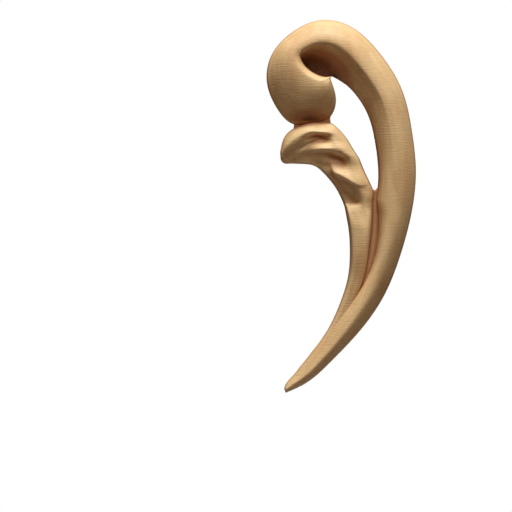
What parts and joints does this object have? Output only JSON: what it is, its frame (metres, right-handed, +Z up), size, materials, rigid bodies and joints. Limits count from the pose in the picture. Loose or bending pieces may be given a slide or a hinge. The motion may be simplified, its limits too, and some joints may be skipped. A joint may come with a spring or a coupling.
{
  "type": "wooden corner onlay",
  "caption": "Carved wooden corner onlay: a tapering C-scroll arm that ends in a round volute ball, with a fluted acanthus leaf springing from its tail, and a flat back.",
  "frame": {"origin": "on the flat back, halfway up, where the stem of the leaf and the arm are one piece of wood", "axes": "+Z up along the onlay, from the tail to the top of the scroll; -Y out of the carved face, so the back looks along +Y; +X to the right as the carved face is seen"},
  "size_m": [0.0803, 0.0154, 0.2006],
  "materials": {
    "beech": "bare sanded beech, matt"
  },
  "bodies": {
    "root": {"corner_onlay": "beech"}
  },
  "joints": []
}
